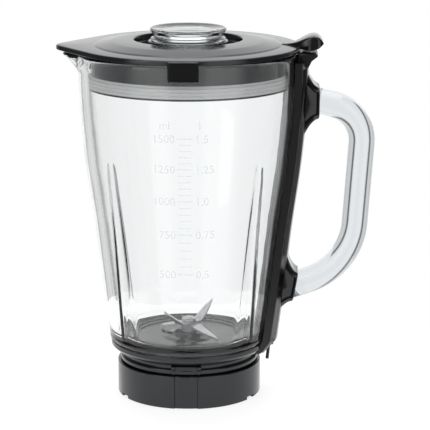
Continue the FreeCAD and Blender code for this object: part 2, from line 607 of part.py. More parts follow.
def blade(label, low, reach, angle, bend_up):
    """A pair of bent wings on a flat hub strip: low is the strip's underside."""
    half_hub, half_width = D["hub_length"] / 2, D["blade_width"] / 2
    strip = Part.makeBox(2 * half_hub, 2 * half_width, D["blade_thick"],
                         FreeCAD.Vector(-half_hub, -half_width, 0))
    wing_outline = [(-0.6, -half_width), (reach * 0.62, -half_width), (reach, half_width * 0.75),
                    (reach * 0.93, half_width), (-0.6, half_width)]
    corners = [FreeCAD.Vector(x, y, 0) for x, y in wing_outline]
    wing = Part.Face(Part.makePolygon(corners + corners[:1])).extrude(UP * D["blade_thick"])
    shape = strip
    for turn in (0, 180):
        side = wing.copy()
        side.rotate(FreeCAD.Vector(), ACROSS, -bend_up)
        side.translate(FreeCAD.Vector(half_hub - 0.4, 0, 0))
        side.rotate(FreeCAD.Vector(), UP, turn)
        shape = shape.fuse(side)
    bore = Part.makeCylinder(D["tip_radius"], 4 * D["blade_thick"],
                             FreeCAD.Vector(0, 0, -D["blade_thick"]))
    shape = shape.cut(bore).removeSplitter()
    shape.rotate(FreeCAD.Vector(), UP, angle)
    shape.translate(FreeCAD.Vector(0, 0, low))
    return solid(label, shape)


def blades():
    seat = D["shaft_seat"]
    wing_up = D["upper_reach"]
    return [blade("lower_blade", seat, D["lower_reach"], -D["upper_angle"], -D["lower_bend"]),
            blade("upper_blade", seat + D["blade_thick"], wing_up, D["upper_angle"], D["upper_bend"]),
            ring("blade_nut", "tip_radius", "nut_radius", "shaft_seat + blade_thick * 2", "nut_high")]


# ---------------------------------------------------------------- lid and cap

def lid_shell():
    crown = turned("lid_crown", [
        ("lid_radius", "lid_low"), ("lid_radius", "lid_edge"), ("crease_radius", "crease_height"),
        ("recess_radius", "recess_edge"), ("recess_radius", "recess_floor"),
        ("filler_outer", "recess_floor"), ("filler_outer", "neck_top"), ("filler_bore", "neck_top"),
        ("filler_bore", "filler_low"), ("filler_outer", "filler_low"),
        ("filler_outer", "recess_floor - lid_sheet"), ("recess_radius + 3", "recess_floor - lid_sheet"),
        ("skirt_inner", "lid_edge - lid_sheet"), ("skirt_inner", "skirt_low"),
        ("skirt_outer", "skirt_low"), ("skirt_outer", "lid_low")])
    beak = plate("lid_beak", [
        ("- beak_tip + beak_radius * 0.35", "- beak_radius * 0.75"), ("- beak_touch_x", "- beak_touch_y"),
        ("- beak_touch_x", "beak_touch_y"), ("- beak_tip + beak_radius * 0.35", "beak_radius * 0.75"),
        ("- beak_tip", "beak_radius * 0.2"), ("- beak_tip", "- beak_radius * 0.2")],
        "lid_edge - lid_low")
    bind(beak, Placement__Base__z="lid_low")
    core = cylinder("beak_core", "skirt_outer + 1", "rim_height * 2")
    beak = cut("lid_beak_trimmed", beak, core)
    tabs = []
    for number, angle in enumerate((-90, 90)):
        outer = cylinder(f"tab_outer_{number}", "tab_outer", "lid_edge - tab_low", "tab_low")
        inner = cylinder(f"tab_inner_{number}", "tab_inner", "rim_height * 2")
        wall = cut(f"tab_wall_{number}", outer, inner)
        side = box(f"tab_side_{number}", "tab_width", "tab_outer", "rim_height * 2", "- tab_width / 2",
                   "0" if angle > 0 else "- tab_outer", "0")
        tabs.append(common(f"side_tab_{number}", wall, side))
    thumb = plate("thumb_tab", [
        ("thumb_start", "crease_height - 0.6"), ("thumb_start + 12", "crease_height + 1.2"),
        ("thumb_peak - 4", "thumb_height - 0.8"), ("thumb_peak", "thumb_height"),
        ("thumb_end - 1", "thumb_height - 2.2"), ("thumb_end", "lid_edge"),
        ("thumb_end - 2", "lid_low"), ("thumb_start", "lid_low")], "thumb_width", "XZ_Plane", True)
    clear_skirt = cylinder("thumb_room", "skirt_inner + 0.4", "lid_edge - lid_sheet")
    thumb = cut("thumb_trimmed", thumb, clear_skirt)
    return fused("lid_shell", [crown, beak, thumb] + tabs)


def lid_seal():
    outline = [("skirt_outer", "seal_low"), ("seal_reach - 1.4", "seal_low")]
    for ridge in range(3):
        low = f"seal_low + {1 + 2.6 * ridge}"
        outline += [("seal_reach", low), ("seal_reach", f"{low} + 1.2"),
                    ("seal_reach - 0.9", f"{low} + 1.6"), ("seal_reach - 0.9", f"{low} + 2.2")]
    outline += [("seal_reach - 1.4", "seal_top + 1.6"), ("skirt_outer", "seal_top + 1.6")]
    return turned("lid_seal", outline)


def measuring_cap():
    return turned("measuring_cap", [
        ("0", "cap_dish"), ("cap_radius - 6", "cap_dish + 0.4"), ("cap_radius - 1.6", "cap_top"),
        ("cap_radius", "cap_top - 0.7"), ("cap_radius", "cap_top - 2.2"),
        ("cap_stem + 0.4", "cap_waist_height"), ("cap_shoulder", "cap_waist_height - 0.4"),
        ("cap_shoulder", "neck_top + 0.3"), ("cap_stem", "neck_top + 0.3"), ("cap_stem", "cap_low"),
        ("cap_stem - cap_wall", "cap_low"), ("cap_stem - cap_wall", "cap_waist_height"),
        ("0", "cap_dish - cap_wall")])


def cap_seal():
    return ring("cap_seal", "cap_stem", "cap_seal_radius", "cap_seal_low", "cap_seal_high")


# ---------------------------------------------------------------- make, check and write

PIECES = [locking_collar(), jar_base_ring(), jar_gasket(), glass_jar(), handle_rail(), rail_cover(),
          rail_screws(), interlock_rod(), interlock_spring(), glass_handle(),
          socket("upper"), socket("lower"),
          blade_carrier(), carrier_seal(), *bearings(), blade_shaft(), *shaft_rings(),
          drive_coupling(), *blades(), lid_shell(), lid_seal(), measuring_cap(), cap_seal()]

doc.recompute()
for item in doc.Objects:
    if "Invalid" in item.State or "Error" in item.State:
        raise RuntimeError(f"{item.Label} failed to recompute: {item.State}")
for piece in PIECES:
    if piece.Shape.isNull() or not piece.Shape.isValid() or not piece.Shape.Solids:
        raise RuntimeError(f"{piece.Label} has no valid solid")
for piece in PIECES:
    piece.Shape.exportStep(f"parts/{piece.Label}.step")
    print(piece.Label, len(piece.Shape.Solids), round(piece.Shape.Volume))
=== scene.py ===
import math

import bmesh
import bpy
from mathutils import Matrix, Vector


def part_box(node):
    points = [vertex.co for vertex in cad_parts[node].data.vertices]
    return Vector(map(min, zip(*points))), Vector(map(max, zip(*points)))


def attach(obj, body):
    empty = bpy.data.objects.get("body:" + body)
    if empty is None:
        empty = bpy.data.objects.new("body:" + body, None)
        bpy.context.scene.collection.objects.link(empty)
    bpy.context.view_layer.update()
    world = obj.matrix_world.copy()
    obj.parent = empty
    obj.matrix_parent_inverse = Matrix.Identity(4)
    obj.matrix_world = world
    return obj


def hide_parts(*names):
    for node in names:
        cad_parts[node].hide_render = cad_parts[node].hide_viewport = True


# A blender's glass jug. Lengths are in millimetres here, as on its drawing, and MM turns them into
# the frame's metres when a mesh is made. +X is the handle's side, -Y is the front.

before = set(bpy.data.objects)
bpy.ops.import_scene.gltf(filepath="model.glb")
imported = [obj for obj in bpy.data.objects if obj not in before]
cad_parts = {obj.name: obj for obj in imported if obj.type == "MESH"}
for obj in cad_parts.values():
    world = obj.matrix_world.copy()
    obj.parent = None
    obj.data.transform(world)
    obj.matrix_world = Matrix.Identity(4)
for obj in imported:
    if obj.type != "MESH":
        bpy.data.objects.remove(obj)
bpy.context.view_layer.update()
MM = 0.001


def span(node):
    """A CAD node's lowest and highest corners, in millimetres."""
    low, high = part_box(node)
    return low / MM, high / MM


# ---------------------------------------------------------------- driving sizes, from the frame

COLLAR_HIGH = span("locking_collar")[1]
COLLAR_RADIUS = COLLAR_HIGH.x
RING_HIGH = span("jar_base_ring")[1]
RING_RADIUS = RING_HIGH.x
JAR_LOW, JAR_HIGH = span("glass_jar")
RIM_RADIUS = JAR_HIGH.x
RIM_TOP = JAR_HIGH.z
CAP_HIGH = span("measuring_cap")[1]
RAIL_LOW, RAIL_HIGH = span("handle_rail")
COVER_HIGH = span("rail_cover")[1]
SEAL_LOW, SEAL_HIGH = span("lid_seal")

GLASS_WALL = 5.7
JAR_FLOOR = JAR_LOW.z + 5
JAR_BORE = 40.4
# how fast the heel draws in below the taper's first point
HEEL_SLOPE = 0.75
# the jar's taper: height and outer radius where its curve changes
TAPER = [(38, 53.1), (68, 57), (113, 62.1), (160, 68.5), (200, 71.9), (RIM_TOP, RIM_RADIUS)]
RAIL_GAP, RAIL_THICK, COVER_THICK = 0.3, 5.2, 1.6
RAIL_WIDTH = 40
RAIL_TOP = 226

# ---------------------------------------------------------------- small mesh tools


def smooth_through(points, at):
    """The value at a place on the smooth curve through a row of (place, value) points."""
    if at <= points[0][0]:
        return points[0][1]
    for i in range(len(points) - 1):
        (a0, b0), (a1, b1) = points[i], points[i + 1]
        if at <= a1:
            before = points[max(i - 1, 0)]
            after = points[min(i + 2, len(points) - 1)]
            slope0 = (b1 - before[1]) / (a1 - before[0])
            slope1 = (after[1] - b0) / (after[0] - a0)
            t, width = (at - a0) / (a1 - a0), a1 - a0
            return ((2 * t**3 - 3 * t**2 + 1) * b0 + (t**3 - 2 * t**2 + t) * width * slope0
                    + (3 * t**2 - 2 * t**3) * b1 + (t**3 - t**2) * width * slope1)
    return points[-1][1]


def taper_radius(height):
    """The jar's outer radius at a height; below the taper's first point its heel draws in."""
    return smooth_through(TAPER, height) - max(0, TAPER[0][0] - height) * HEEL_SLOPE


def ease(low, high, value):
    """0 below low, 1 above high, and a smooth step between them."""
    t = min(max((value - low) / (high - low), 0), 1)
    return t * t * (3 - 2 * t)


def rounded(corners, closed=True, steps=5):
    """An outline of (across, up, radius) corners, with each corner's arc drawn in."""
    count, outline = len(corners), []
    for i, (x, y, radius) in enumerate(corners):
        here = Vector((x, y))
        if radius == 0 or (not closed and i in (0, count - 1)):
            outline.append(here)
            continue
        back = Vector(corners[i - 1][:2]) - here
        ahead = Vector(corners[(i + 1) % count][:2]) - here
        half = back.angle(ahead) / 2
        reach = min(radius / math.tan(half), 0.49 * back.length, 0.49 * ahead.length)
        radius = reach * math.tan(half)
        middle = (back.normalized() + ahead.normalized()).normalized()
        centre = here + middle * (radius / math.sin(half))
        start = here + back.normalized() * reach - centre
        end = here + ahead.normalized() * reach - centre
        turn = start.angle_signed(end)
        for step in range(steps + 1):
            outline.append(centre + start @ Matrix.Rotation(turn * step / steps, 2))
    return outline


def make_mesh(name, points, faces, body, sharp=40):
    """A piece from points in millimetres, smooth but for edges sharper than an angle.

    Scenery rides no body: its body is None.
    """
    mesh = bpy.data.meshes.new(name)
    mesh.from_pydata([Vector(p) * MM for p in points], [], faces)
    mesh.validate()
    build = bmesh.new()
    build.from_mesh(mesh)
    bmesh.ops.remove_doubles(build, verts=build.verts, dist=1e-6)
    bmesh.ops.recalc_face_normals(build, faces=build.faces)
    build.to_mesh(mesh)
    build.free()
    mesh.polygons.foreach_set("use_smooth", [True] * len(mesh.polygons))
    mesh.set_sharp_from_angle(angle=math.radians(sharp))
    piece = bpy.data.objects.new(name, mesh)
    bpy.context.scene.collection.objects.link(piece)
    if body:
        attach(piece, body)
    return piece


def skin(name, rings, body, ring_closed=True, loop=False, caps=True, sharp=40):
    """A mesh through rings of equal count, joined end to end or capped."""
    count = len(rings[0])
    points = [p for ring in rings for p in ring]
    faces = []
    for i in range(len(rings) if loop else len(rings) - 1):
        a, b = i * count, (i + 1) % len(rings) * count
        for j in range(count if ring_closed else count - 1):
            k = (j + 1) % count
            faces.append((a + j, a + k, b + k, b + j))
    if caps and not loop:
        faces.append(tuple(range(count))[::-1])
        faces.append(tuple(range((len(rings) - 1) * count, len(rings) * count)))
    return make_mesh(name, points, faces, body, sharp)


def circle_ring(radius, height, count=144):
    """One level ring: radius and height are numbers or functions of the angle."""
    ring = []
    for i in range(count):
        angle = math.tau * i / count
        r = radius(angle) if callable(radius) else radius
        z = height(angle) if callable(height) else height
        ring.append((r * math.cos(angle), r * math.sin(angle), z))
    return ring


def lathe(name, corners, body, count=144, sharp=40, centre=(0, 0)):
    """A turned piece from its closed (radius, height, corner radius) outline."""
    outline = rounded(corners)
    rings = [circle_ring(max(p.x, 0), p.y, count) for p in outline]
    rings = [[(x + centre[0], y + centre[1], z) for x, y, z in ring] for ring in rings]
    return skin(name, rings, body, loop=True, sharp=sharp)


def polar(radius, angle, height):
    return (radius * math.cos(angle), radius * math.sin(angle), height)


# ---------------------------------------------------------------- materials


def linear(code):
    """An sRGB hex colour as the linear colour that shaders take."""
    values = [int(code[i:i + 2], 16) / 255 for i in (0, 2, 4)]
    return tuple(v / 12.92 if v <= 0.04045 else ((v + 0.055) / 1.055) ** 2.4 for v in values) + (1,)


def add(tree, kind, inputs=None, **settings):
    """Adds a node with its settings; an input is a value or the socket that feeds it."""
    node = tree.nodes.new(kind)
    for name, value in settings.items():
        setattr(node, name, value)
    for name, value in (inputs or {}).items():
        if isinstance(value, bpy.types.NodeSocket):
            tree.links.new(value, node.inputs[name])
        else:
            node.inputs[name].default_value = value
    return node


def start_material(name, **surface):
    """A material with one Principled surface, its plain numbers set on its own sockets."""
    material = bpy.data.materials.new(name)
    material.use_nodes = True
    tree = material.node_tree
    shader = tree.nodes["Principled BSDF"]
    for key, value in surface.items():
        shader.inputs[key.replace("_", " ")].default_value = value
    return material, tree, shader


def grain(tree, shader, size_mm, height_mm, low, high, detail=3, stretch=(1, 1, 1)):
    """Fine relief, with roughness that varies between two values over it."""
    place = add(tree, "ShaderNodeTexCoord")
    scaled = add(tree, "ShaderNodeMapping", {"Vector": place.outputs["Object"], "Scale": stretch})
    noise = add(tree, "ShaderNodeTexNoise", {"Vector": scaled.outputs["Vector"],
                                             "Scale": 1 / (size_mm * MM), "Detail": detail})
    bump = add(tree, "ShaderNodeBump", {"Height": noise.outputs["Fac"], "Distance": height_mm * MM,
                                        "Strength": 0.6})
    tree.links.new(bump.outputs["Normal"], shader.inputs["Normal"])
    rough = add(tree, "ShaderNodeMapRange", {"Value": noise.outputs["Fac"],
                                             "To Min": low, "To Max": high})
    tree.links.new(rough.outputs["Result"], shader.inputs["Roughness"])


def pressed_soda_glass():
    """Pressed and fire-polished: clear, with a faint swell from the mould under its gloss."""
    material, tree, shader = start_material(
        "pressed_soda_glass", Base_Color=linear("F9FAFA"), Roughness=0.0, IOR=1.52,
        Transmission_Weight=1.0)
    place = add(tree, "ShaderNodeTexCoord")
    noise = add(tree, "ShaderNodeTexNoise", {"Vector": place.outputs["Object"], "Scale": 60.0,
                                             "Detail": 1.0})
    bump = add(tree, "ShaderNodeBump", {"Height": noise.outputs["Fac"], "Distance": 0.0002,
                                        "Strength": 0.25})
    tree.links.new(bump.outputs["Normal"], shader.inputs["Normal"])
    return material


def drawn_handle_glass():
    """A drawn glass bar, bent hot: clear all through, its skin drawn out along the bar."""
    material, tree, shader = start_material(
        "drawn_handle_glass", Base_Color=linear("DDE0E2"), Roughness=0.1, IOR=1.5,
        Transmission_Weight=1.0)
    place = add(tree, "ShaderNodeTexCoord")
    scaled = add(tree, "ShaderNodeMapping", {"Vector": place.outputs["Object"],
                                             "Scale": (1, 1, 0.3)})
    noise = add(tree, "ShaderNodeTexNoise", {"Vector": scaled.outputs["Vector"], "Scale": 90.0,
                                             "Detail": 1.0})
    bump = add(tree, "ShaderNodeBump", {"Height": noise.outputs["Fac"], "Distance": 0.0001,
                                        "Strength": 0.3})
    tree.links.new(bump.outputs["Normal"], shader.inputs["Normal"])
    return material


def clear_cap_plastic():
    """Clear moulded plastic, a little grey in its thickness."""
    material, tree, shader = start_material(
        "clear_cap_plastic", Base_Color=linear("EDF0F1"), Roughness=0.03, IOR=1.57,
        Transmission_Weight=1.0)
    grain(tree, shader, 14, 0.01, 0.0, 0.04, detail=1)
    return material


def satin_black_plastic(name="satin_black_abs", colour="171B1F", low=0.12, high=0.18):
    """Black ABS from a spark-eroded mould: satin, with a fine even grain."""
    material, tree, shader = start_material(name, Base_Color=linear(colour), IOR=1.53)
    grain(tree, shader, 0.8, 0.012, low, high)
    return material


def glossy_black_plastic():
    """The same black ABS where the mould was polished: near a mirror, a little orange peel."""
    material, tree, shader = start_material(
        "polished_black_abs", Base_Color=linear("0C0D0F"), IOR=1.53)
    grain(tree, shader, 6, 0.02, 0.08, 0.14, detail=1)
    return material


def pale_silicone():
    """Translucent silicone: milky, soft-edged highlights, a dusty skin."""
    material, tree, shader = start_material(
        "translucent_silicone", Base_Color=linear("FCFCFC"), IOR=1.42, Subsurface_Weight=0.1,
        Subsurface_Scale=0.003)
    grain(tree, shader, 1.5, 0.01, 0.2, 0.3)
    return material


def nitrile_rubber():
    """Moulded black nitrile: matt, with talc still in its grain."""
    material, tree, shader = start_material("black_nitrile", Base_Color=linear("1E2022"), IOR=1.52)
    grain(tree, shader, 0.5, 0.01, 0.6, 0.75)
    return material


def ground_steel():
    """Stainless blade steel, surface-ground: fine scratches along the grinding."""
    material, tree, shader = start_material(
        "ground_stainless_steel", Base_Color=linear("EEF0F1"), Metallic=1.0)
    grain(tree, shader, 0.5, 0.006, 0.36, 0.5, detail=4, stretch=(1, 12, 1))
    return material


def turned_steel(name, colour, low, high):
    """Turned or drawn steel: bright, with rings from the tool."""
    material, tree, shader = start_material(name, Base_Color=linear(colour), Metallic=1.0)
    grain(tree, shader, 0.4, 0.004, low, high, detail=2, stretch=(1, 1, 10))
    return material


def sintered_bronze():
    """Pressed bronze powder: warm, dull and finely pitted, dark with oil."""
    material, tree, shader = start_material(
        "sintered_bronze", Base_Color=linear("9A7A4A"), Metallic=1.0)
    grain(tree, shader, 0.3, 0.02, 0.4, 0.6, detail=5)
    return material


def moulded_mark():
    """Raised figures moulded in the jar's clear glass wall, with a flat pale grey that is painted
    light: it stands in for the light that their edges scatter.
    """
    # painted light: the grey B4B8BB at alpha 0.22 is laid on the clear glass figures in place of the
    # light their edges scatter
    material, tree, shader = start_material(
        "moulded_glass_mark_painted_light", Base_Color=linear("B4B8BB"), IOR=1.5, Alpha=0.22)
    grain(tree, shader, 0.6, 0.01, 0.35, 0.5)
    return material


JAR_GLASS = pressed_soda_glass()
HANDLE_GLASS = drawn_handle_glass()
CAP_PLASTIC = clear_cap_plastic()
SATIN = satin_black_plastic()
DEEP_SATIN = satin_black_plastic("satin_black_rail_abs", "08090A", 0.3, 0.4)
GLOSS = glossy_black_plastic()
SILICONE = pale_silicone()
RUBBER = nitrile_rubber()
BLADE_STEEL = ground_steel()
SHAFT_STEEL = turned_steel("turned_shaft_steel", "C9CCCE", 0.2, 0.32)
SPRING_STEEL = turned_steel("drawn_spring_wire", "AEB2B5", 0.25, 0.35)
BRONZE = sintered_bronze()
MARK_PAINTED_LIGHT = moulded_mark()


def dress(piece, material, slot, *nodes):
    """Gives a piece its material and hides the CAD nodes that it stands for; the slot is not used.
    """
    piece.data.materials.clear()
    piece.data.materials.append(material)
    if nodes:
        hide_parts(*nodes)
    return piece


# ---------------------------------------------------------------- glass jar

RIB_ANGLES = [math.radians(a) for a in (45, 135, 225, 315)]
RIB_TOP, RIB_FOOT = 167.5, 41
RIB_HALF_TOP, RIB_HALF_FOOT = 1.6, 8.2
RIB_DEPTH_TOP, RIB_DEPTH_FOOT = 0.35, 1.25
REAR_RIB_SHARE = 0.35
SPOUT_ANGLE, SPOUT_SPREAD = math.pi, 0.22
SPOUT_REACH = -JAR_LOW.x - RIM_RADIUS
SPOUT_FOOT = 217
BEAD_TOP = 43
LIP_RISE = 2.6
# the curve inside the jar, from the wall down to the floor
FLOOR_CURVE_TOP, FLOOR_CURVE_REACH = 47, 7


def rib_share(angle, height, spare=0.0):
    """How deep into a pressed rib a point of the wall lies: 0 outside, up to the rib's depth."""
    if height >= RIB_TOP or height <= RIB_FOOT - 3:
        return 0
    along = (RIB_TOP - height) / (RIB_TOP - RIB_FOOT)
    half = RIB_HALF_TOP + (RIB_HALF_FOOT - RIB_HALF_TOP) * along + spare
    half *= math.sqrt(min((RIB_TOP - height) / 8, 1))
    depth = RIB_DEPTH_TOP + (RIB_DEPTH_FOOT - RIB_DEPTH_TOP) * along
    depth *= ease(RIB_FOOT - 3, RIB_FOOT + 9, height) * ease(RIB_TOP, RIB_TOP - 5, height)
    rib = min(RIB_ANGLES, key=lambda centre: abs(math.remainder(angle - centre, math.tau)))
    off = math.remainder(angle - rib, math.tau) * taper_radius(height) / half
    across = off if math.cos(rib) * math.sin(rib) < 0 else -off
    depth *= REAR_RIB_SHARE if math.sin(rib) > 0 else 1
    return depth * ease(-1, 0.2, across) * (1 - ease(0.6, 1, across))


def spout_share(angle, height):
    """How far the wall leans out to the pouring lip, which starts as a point low on the wall."""
    rise = max(0, (height - SPOUT_FOOT) / (RIM_TOP - SPOUT_FOOT))
    spread = SPOUT_SPREAD * (0.35 + 0.65 * min(rise, 1))
    off = math.remainder(angle - SPOUT_ANGLE, math.tau) / spread
    return SPOUT_REACH * math.exp(-off * off) * rise ** 1.3


def jar_outer(height, inset=0.0):
    return lambda angle: (taper_radius(height) - inset - rib_share(angle, height)
                          + spout_share(angle, height))


def foot_bead(height, bulge):
    """The wall at the bead round the jar's foot, which stops behind the rail for the rod."""
    wall = jar_outer(height)
    return lambda angle: wall(angle) + bulge * ease(0.04, 0.1, abs(math.remainder(angle, math.tau)))


def jar_inner(height, inset=0.0):
    def radius(angle):
        rib = rib_share(angle, height, 1.5)
        thin = ease(SPOUT_FOOT, RIM_TOP, height) * math.exp(
            -(math.remainder(angle - SPOUT_ANGLE, math.tau) / SPOUT_SPREAD) ** 2)
        return (taper_radius(height) - GLASS_WALL + inset - rib + spout_share(angle, height)
                + 1.6 * thin)
    return radius


def glass_jar():
    """The pressed jar: one closed wall from the bottom bore, up the outside and down the inside."""
    count = 480
    foot = [(JAR_BORE, 0.6), (JAR_BORE + 0.6, 0), (48.9, 0), (50.0, 0.35), (51.1, 1.5), (52.1, 2.8)]
    rings = [circle_ring(radius, JAR_LOW.z + rise, count) for radius, rise in foot]
    bead = [(37.6, -0.25), (38.6, 0.1), (39.8, 0.35), (41, 0.1), (41.8, -0.15), (BEAD_TOP, 0)]
    rings += [circle_ring(foot_bead(z, bulge), z, count) for z, bulge in bead]
    steps = 92
    top = RIM_TOP - LIP_RISE
    for i in range(1, steps + 1):
        z = BEAD_TOP + (top - BEAD_TOP) * i / steps
        rings.append(circle_ring(jar_outer(z), z, count))
    for i in range(1, 9):
        turn = math.pi * i / 9
        inset = GLASS_WALL / 2 * (1 - math.cos(turn))
        rings.append(circle_ring(jar_outer(top, inset), top + LIP_RISE * math.sin(turn), count))
    for i in range(steps + 1):
        z = top + (FLOOR_CURVE_TOP - top) * i / steps
        rings.append(circle_ring(jar_inner(z), z, count))
    for i in range(1, 7):
        turn = math.pi / 2 * i / 6
        inset = -FLOOR_CURVE_REACH * (1 - math.cos(turn))
        z = FLOOR_CURVE_TOP - (FLOOR_CURVE_TOP - JAR_FLOOR) * math.sin(turn)
        rings.append(circle_ring(jar_inner(FLOOR_CURVE_TOP, inset), z, count))
    rings += [circle_ring(JAR_BORE + 0.6, JAR_FLOOR, count),
              circle_ring(JAR_BORE, JAR_FLOOR - 0.6, count)]
    jar = skin("glass_jar_wall", rings, "jug", loop=True, sharp=50)
    return dress(jar, JAR_GLASS, "jar_glass", "glass_jar")


def on_wall(points, angle0, scale, proud):
    """Lays flat artwork (across, up) on the jar's outer wall, raised by a small height."""
    laid = []
    for x, z, lift in points:
        radius = taper_radius(z) + proud + lift
        angle = angle0 + x * scale / taper_radius(z)
        laid.append(polar(radius, angle, z))
    return laid


MARK_HEIGHTS = {500: 94.8, 750: 121.8, 1000: 144.4, 1250: 165.7, 1500: 185.6}
MARK_SIZE = 7.4


def text_points(words, left, height, right_aligned=False):
    """The flat mesh of a moulded figure: its points (across, up) and faces."""
    curve = bpy.data.curves.new("figure", "FONT")
    curve.body = words
    curve.size = MARK_SIZE
    curve.align_x = "RIGHT" if right_aligned else "LEFT"
    curve.resolution_u = 3
    holder = bpy.data.objects.new("figure", curve)
    mesh = bpy.data.meshes.new_from_object(holder)
    points = [(v.co.x + left, v.co.y + height - MARK_SIZE * 0.35, 0) for v in mesh.vertices]
    faces = [tuple(p.vertices) for p in mesh.polygons]
    bpy.data.objects.remove(holder)
    bpy.data.curves.remove(curve)
    bpy.data.meshes.remove(mesh)
    return points, faces


def line_points(left, right, height, thick, pieces=6):
    points, faces = [], []
    for i in range(pieces + 1):
        x = left + (right - left) * i / pieces
        points += [(x, height - thick / 2, 0), (x, height + thick / 2, 0)]
    for i in range(pieces):
        faces.append((2 * i, 2 * i + 2, 2 * i + 3, 2 * i + 1))
    return points, faces


def volume_scale():
    """The moulded scale on the front wall: millilitres on the left, litres on the right."""
    artwork = [text_points("ml", -8.5, 194.5, True), text_points("l", 9.5, 194.5)]
    volumes = sorted(MARK_HEIGHTS)
    for volume in volumes:
        height = MARK_HEIGHTS[volume]
        litres = f"{volume / 1000:g}".replace(".", ",") if volume % 1000 else "1,0"
        artwork.append(text_points(str(volume), -5.5, height, True))
        artwork.append(text_points(litres, 7, height))
        artwork.append(line_points(-4.5, 5.5, height, 0.7))
    for low, high in zip(volumes, volumes[1:]):
        for step in range(1, 5):
            height = MARK_HEIGHTS[low] + (MARK_HEIGHTS[high] - MARK_HEIGHTS[low]) * step / 5
            artwork.append(line_points(-3.5, 4.5, height, 0.45))
    points, faces = [], []
    for art_points, art_faces in artwork:
        start = len(points)
        points += art_points
        faces += [tuple(start + i for i in face) for face in art_faces]
    laid = on_wall(points, -math.pi / 2, 1, 0.06)
    scale = make_mesh("volume_scale", laid, faces, "jug")
    # the figures wear the grey material that paints the light scattered at their clear glass edges
    return dress(scale, MARK_PAINTED_LIGHT, "jar_glass")


# ---------------------------------------------------------------- collar, base ring, gasket

COLLAR_WALL = 2.4
# a hair above the floor, so that the two faces don't lie in one plane
COLLAR_FOOT = 0.01
NOTCH_ANGLES = [math.radians(a) for a in (29, 151, 209, 331)]
NOTCH_HALF = 4.25 / COLLAR_RADIUS
NOTCH_DEPTH = 2.2
PANEL_ANGLE = -math.pi / 2
PANEL_HALF = 7.8 / COLLAR_RADIUS


def away_from(angle, centres):
    return min(abs(math.remainder(angle - centre, math.tau)) for centre in centres)


def locking_collar():
    """The ring that the jug stands on: notched underneath, with a sunk panel at the front."""
    count = 960
    inner = COLLAR_RADIUS - COLLAR_WALL
    outline = rounded([
        (COLLAR_RADIUS, COLLAR_FOOT, 0.8), (COLLAR_RADIUS, COLLAR_HIGH.z, 0.6),
        (inner, COLLAR_HIGH.z, 0.6), (inner, 6.6, 0.4), (34, 6.6, 0.4), (34, 4.2, 0.4),
        (inner, 4.2, 0.4), (inner, COLLAR_FOOT, 0.4)])
    rings = []
    for p in outline:
        def height(angle, low=p.y):
            notch = away_from(angle, NOTCH_ANGLES) < NOTCH_HALF
            return max(low, NOTCH_DEPTH) if notch else low

        def radius(angle, across=p.x):
            if across < COLLAR_RADIUS - 1:
                return across
            off = math.remainder(angle - PANEL_ANGLE, math.tau)
            sunk = 0.9 * (1 - ease(PANEL_HALF - 0.008, PANEL_HALF + 0.004, abs(off)))
            rib = max(0, 1 - abs(abs(off + 0.018) - 0.095) / 0.01)
            return across - sunk + 0.3 * rib
        rings.append(circle_ring(radius, height, count))
    collar = skin("locking_collar_body", rings, "collar", loop=True, sharp=35)
    return dress(collar, SATIN, "black_plastic", "locking_collar")


def jar_base_ring():
    """The ring that cups the jar's foot, with the neck that the collar locks on."""
    ring = lathe("jar_base_ring_body", [
        (39.6, 10, 0.3), (43.6, 10, 0.3), (43.6, 23.2, 0.5), (46.4, 23.2, 0.5), (46.4, 26, 0.8),
        (44.6, 26.8, 0.6), (44.6, 29.2, 1.2), (50.6, 31.6, 1.6), (RING_RADIUS, 33.8, 1),
        (RING_RADIUS, RING_HIGH.z, 0.3), (52.35, RING_HIGH.z, 0.1), (50.6, 33.3, 0.3),
        (39.6, 33.3, 0.3)], "jug", 240, 35)
    return dress(ring, SATIN, "black_plastic", "jar_base_ring")


def front_stop():
    """The stop on the front of the neck: a sunk plate between two round pegs."""
    plate = rounded([(-7, 23.4, 0.6), (7, 23.4, 0.6), (7, 28.4, 0.6), (-7, 28.4, 0.6)])
    rings = []
    for depth in (-43.8, -46.0, -46.2):
        inset = 0.97 if depth < -46.1 else 1
        rings.append([(p.x * inset, depth, 25.9 + (p.y - 25.9) * inset) for p in plate])
    stop = skin("front_stop", rings, "jug", sharp=30)
    dress(stop, GLOSS, "black_plastic")
    for number, side in enumerate((-1, 1)):
        peg = lathe(f"stop_peg_{number}", [
            (0.2, 22.9, 0), (1.5, 22.9, 0.5), (1.5, 25.6, 0.4), (1.2, 26, 0.2), (1.9, 26.6, 0.6),
            (1.9, 28.8, 0.9), (0.2, 29, 0)], "jug", 32, 40, (side * 8.3, -44.6))
        dress(peg, GLOSS, "black_plastic")


# ---------------------------------------------------------------- rail, sockets and handle


def rail_section(z, half, inner_gap, outer_gap, inner_corner, outer_corner):
    """One level section of a band that hugs the jar, its corners rounded."""
    inner, outer = taper_radius(z) + inner_gap, taper_radius(z) + outer_gap
    inner_half, outer_half = math.asin(half / inner), math.asin(half / outer)
    section = []
    steps = 10
    for i in range(steps + 1):
        angle = -outer_half + 2 * outer_half * i / steps
        trim = outer_corner * max(0, (abs(angle) - outer_half * 0.86) / (outer_half * 0.14)) ** 2
        section.append(polar(outer - trim, angle, z))
    for i in range(steps + 1):
        angle = inner_half - 2 * inner_half * i / steps
        trim = inner_corner * max(0, (abs(angle) - inner_half * 0.95) / (inner_half * 0.05)) ** 2
        section.append(polar(inner + trim, angle, z))
    return section


def band(name, half, inner_gap, outer_gap, low, high, corners):
    levels = 48
    rings = []
    for i in range(levels + 1):
        z = low + (high - low) * i / levels
        thin = 1.0 * ease(low + 8, low, z)
        rings.append(rail_section(z, half, inner_gap, outer_gap - thin, *corners))
    return skin(name, rings, "jug", sharp=45)


